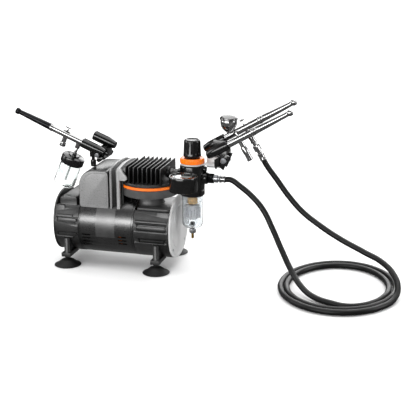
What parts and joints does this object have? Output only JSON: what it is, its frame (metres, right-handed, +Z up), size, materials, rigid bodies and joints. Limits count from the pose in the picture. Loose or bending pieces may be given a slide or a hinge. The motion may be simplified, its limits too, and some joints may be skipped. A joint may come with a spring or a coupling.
{
  "type": "airbrush compressor",
  "caption": "Small piston compressor on suction feet, with a regulator and water filter, airbrush holders, airbrushes in their sockets and a coiled air hose.",
  "frame": {"origin": "middle of the object's footprint, on the surface that the suction feet stand on; the hose is left out of that middle", "axes": "+X along the motor shaft towards the regulator, +Y towards the rear, +Z up"},
  "size_m": [0.5579, 0.2059, 0.244],
  "materials": {
    "body_paint": "black satin metallic",
    "casting_paint": "black cast, satin",
    "cover_paint": "dark grey satin",
    "end_plate_paint": "light grey painted sheet steel",
    "orange_rubber": "orange silicone",
    "orange_plastic": "orange moulded",
    "steel": "bright",
    "copper_winding": "lacquered copper winding on laminations",
    "aluminium": "machined",
    "black_plastic": "black moulded",
    "white_face": "printed dial",
    "clear_plastic": "clear polycarbonate",
    "clear_glass": "clear bottle glass",
    "sintered": "sintered tan element",
    "brass": "turned",
    "chrome": "polished",
    "black_anodised": "black anodised",
    "foot_rubber": "soft black rubber",
    "hose_rubber": "black air hose"
  },
  "bodies": {
    "base": {"motor_sleeve": "body_paint", "cylinder_head": "body_paint", "left_bell": "casting_paint", "right_bell": "casting_paint", "left_plate": "casting_paint", "cylinder": "casting_paint", "housing_frame": "casting_paint", "housing_end": "casting_paint", "air_link": "casting_paint", "holder_stand_left": "casting_paint", "housing_cover": "cover_paint", "right_plate": "end_plate_paint", "holder_bracket": "end_plate_paint", "head_gasket": "orange_rubber", "regulator_ring": "orange_plastic", "valve_plate": "steel", "regulator_spring": "steel", "stator": "copper_winding", "regulator_body": "black_plastic", "gauge_can": "black_plastic", "capacitor": "black_plastic", "mains_gland": "black_plastic", "holder_clamp_right": "black_plastic", "holder_socket_a": "black_plastic", "holder_socket_b": "black_plastic", "holder_socket_c": "black_plastic", "holder_socket_spare": "black_plastic", "gauge_dial": "white_face", "filter_bowl": "clear_plastic", "gauge_lens": "clear_plastic", "filter_element": "sintered", "outlet_fitting": "chrome", "suction_cup_left_front": "foot_rubber", "suction_cup_left_rear": "foot_rubber", "suction_cup_right_front": "foot_rubber", "suction_cup_right_rear": "foot_rubber", "hose_regulator": "hose_rubber", "hose_airbrush": "hose_rubber", "hose_coil": "hose_rubber"},
    "rotor_assembly": {"crank_shaft": "steel", "rotor": "steel", "fan": "black_plastic"},
    "piston": {"piston_rod": "aluminium"},
    "regulator_stem": {"regulator_screw": "brass"},
    "regulator_handwheel": {"regulator_knob": "black_plastic"},
    "drain": {"drain_valve": "brass"},
    "needle": {"gauge_needle": "black_plastic"},
    "switch": {"power_switch": "black_plastic"},
    "airbrush_a": {"airbrush_a_body": "chrome", "airbrush_a_handle": "chrome"},
    "trigger_a": {"airbrush_a_trigger": "chrome"},
    "lid_a": {"airbrush_a_lid": "chrome"},
    "airbrush_b": {"airbrush_b_body": "chrome", "airbrush_b_handle": "chrome"},
    "trigger_b": {"airbrush_b_trigger": "chrome"},
    "airbrush_c": {"airbrush_c_body": "chrome", "airbrush_c_handle": "black_anodised"},
    "trigger_c": {"airbrush_c_trigger": "chrome"},
    "bottle_c": {"airbrush_c_cap": "black_plastic", "airbrush_c_jar": "clear_glass"}
  },
  "joints": [
    {"name": "rotor_spin", "type": "hinge", "parent": "base", "child": "rotor_assembly", "pos_m": [-0.0505, 0, 0.057], "axis": [1, 0, 0], "continuous": true},
    {"name": "piston_stroke", "type": "slide", "parent": "base", "child": "piston", "axis": [0, 0, 1], "range_m": [-0.012, 0]},
    {"name": "regulator_turn", "type": "hinge", "parent": "base", "child": "regulator_stem", "pos_m": [0.0565, 0, 0.16], "axis": [0, 0, 1], "range_deg": [-360, 720]},
    {"name": "knob_unlock", "type": "slide", "parent": "regulator_stem", "child": "regulator_handwheel", "axis": [0, 0, 1], "range_m": [0, 0.003]},
    {"name": "drain_press", "type": "slide", "parent": "base", "child": "drain", "axis": [0, 0, 1], "range_m": [0, 0.002], "stiffness_N_per_m": 400, "springref_m": -0.004},
    {"name": "needle_sweep", "type": "hinge", "parent": "base", "child": "needle", "pos_m": [0.0555, -0.0405, 0.137], "axis": [0, 0, 1], "range_deg": [-270, 0], "stiffness_Nm_per_rad": 0.0001},
    {"name": "switch_rock", "type": "hinge", "parent": "base", "child": "switch", "pos_m": [-0.0775, 0.0355, 0.122], "axis": [1, 0, 0], "range_deg": [0, 12]},
    {"name": "airbrush_a_lift", "type": "slide", "parent": "base", "child": "airbrush_a", "axis": [0.866, 0, 0.5], "range_m": [0, 0.04]},
    {"name": "trigger_a_press", "type": "slide", "parent": "airbrush_a", "child": "trigger_a", "axis": [0.5, 0, -0.866], "range_m": [0, 0.002], "stiffness_N_per_m": 300, "springref_m": -0.003},
    {"name": "lid_a_lift", "type": "slide", "parent": "airbrush_a", "child": "lid_a", "axis": [0, 0, 1], "range_m": [0, 0.012]},
    {"name": "airbrush_b_lift", "type": "slide", "parent": "base", "child": "airbrush_b", "axis": [0.866, 0, 0.5], "range_m": [0, 0.04]},
    {"name": "trigger_b_press", "type": "slide", "parent": "airbrush_b", "child": "trigger_b", "axis": [0.5, 0, -0.866], "range_m": [0, 0.002], "stiffness_N_per_m": 300, "springref_m": -0.003},
    {"name": "airbrush_c_lift", "type": "slide", "parent": "base", "child": "airbrush_c", "axis": [-0.9239, 0, 0.3827], "range_m": [0, 0.04]},
    {"name": "trigger_c_press", "type": "slide", "parent": "airbrush_c", "child": "trigger_c", "axis": [-0.3827, 0, -0.9239], "range_m": [0, 0.002], "stiffness_N_per_m": 300, "springref_m": -0.003},
    {"name": "bottle_c_pull", "type": "slide", "parent": "airbrush_c", "child": "bottle_c", "axis": [-0.3827, 0, -0.9239], "range_m": [0, 0.006]}
  ]
}
